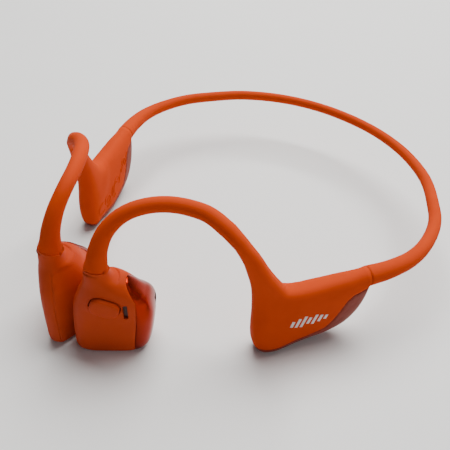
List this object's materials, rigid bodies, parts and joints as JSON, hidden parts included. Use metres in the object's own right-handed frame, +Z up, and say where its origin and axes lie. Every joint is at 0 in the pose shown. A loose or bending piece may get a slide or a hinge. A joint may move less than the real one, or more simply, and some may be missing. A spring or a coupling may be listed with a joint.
{
  "type": "bone conduction headphones",
  "caption": "Open-ear bone conduction headset with an elastic neckband, two over-ear hooks with pods, and an electronics box behind each ear.",
  "frame": {"origin": "on the surface the headset stands on, under the middle of its bounding box", "axes": "+X to the wearer's left, -Y to the wearer's front where the pods are, +Z up as it stands on a table"},
  "size_m": [0.1248, 0.1428, 0.0493],
  "materials": {
    "silicone_skin": "soft matt orange silicone",
    "pod_matte": "soft-touch matt orange plastic",
    "pad_silicone": "smooth orange silicone",
    "metallic_cover": "satin metallic red-orange",
    "maroon_cover": "satin maroon plastic",
    "emblem_print": "light grey print",
    "spring_wire": "drawn spring wire",
    "inner_plastic": "moulded black plastic",
    "seal_rubber": "black gasket rubber",
    "magnet_steel": "nickel plate",
    "coil_copper": "enamelled copper winding",
    "diaphragm_film": "formed film",
    "mesh_black": "dark mesh and small electronics",
    "board_green": "solder mask",
    "battery_foil": "laminated foil",
    "light_clear": "diffusing light pipe"
  },
  "bodies": {
    "left_half": {"battery": "battery_foil", "battery_board": "board_green", "button_board": "board_green", "button_switch": "mesh_black", "left_air_driver_diaphragm": "diaphragm_film", "left_air_driver_frame": "inner_plastic", "left_arm_skin": "silicone_skin", "left_base_cover": "maroon_cover", "left_box_tub": "inner_plastic", "left_emblem": "emblem_print", "left_hook_wire": "spring_wire", "left_mic_mesh": "mesh_black", "left_microphone": "magnet_steel", "left_pod_inner_shell": "pod_matte", "left_pod_outer_shell": "pod_matte", "left_pod_rear_cover": "metallic_cover", "left_pod_seal": "seal_rubber", "left_skin_pad": "pad_silicone", "left_sound_grille": "mesh_black", "left_transducer_coil": "coil_copper", "left_transducer_magnet": "magnet_steel", "left_transducer_spring": "spring_wire", "left_transducer_yoke": "magnet_steel", "neckband_left": "silicone_skin", "neckband_wire_left": "spring_wire"},
    "right_half": {"board_chips": "mesh_black", "charging_socket": "magnet_steel", "charging_tongue": "mesh_black", "main_board": "board_green", "neckband_right": "silicone_skin", "neckband_wire_right": "spring_wire", "right_air_driver_diaphragm": "diaphragm_film", "right_air_driver_frame": "inner_plastic", "right_arm_skin": "silicone_skin", "right_base_cover": "maroon_cover", "right_box_tub": "inner_plastic", "right_emblem": "emblem_print", "right_hook_wire": "spring_wire", "right_mic_mesh": "mesh_black", "right_microphone": "magnet_steel", "right_pod_inner_shell": "pod_matte", "right_pod_outer_shell": "pod_matte", "right_pod_rear_cover": "metallic_cover", "right_pod_seal": "seal_rubber", "right_skin_pad": "pad_silicone", "right_sound_grille": "mesh_black", "right_transducer_coil": "coil_copper", "right_transducer_magnet": "magnet_steel", "right_transducer_spring": "spring_wire", "right_transducer_yoke": "magnet_steel", "status_light": "light_clear", "volume_switches": "mesh_black"},
    "multifunction_button": {"multifunction_button": "pod_matte"},
    "volume_up_button": {"volume_up_button": "maroon_cover"},
    "volume_down_button": {"volume_down_button": "maroon_cover"}
  },
  "joints": [
    {"name": "neckband_flex", "type": "hinge", "parent": "left_half", "child": "right_half", "pos_m": [0, 0.07142, 0.0197], "axis": [0, 0, -1], "range_deg": [0, 50], "stiffness_Nm_per_rad": 0.15},
    {"name": "multifunction_press", "type": "slide", "parent": "left_half", "child": "multifunction_button", "axis": [-0.6858, 0.7278, 0], "range_m": [0, 0.0003], "stiffness_N_per_m": 3000},
    {"name": "volume_up_press", "type": "slide", "parent": "right_half", "child": "volume_up_button", "axis": [0, 0, 1], "range_m": [0, 0.00025], "stiffness_N_per_m": 3000},
    {"name": "volume_down_press", "type": "slide", "parent": "right_half", "child": "volume_down_button", "axis": [0, 0, 1], "range_m": [0, 0.00025], "stiffness_N_per_m": 3000}
  ]
}
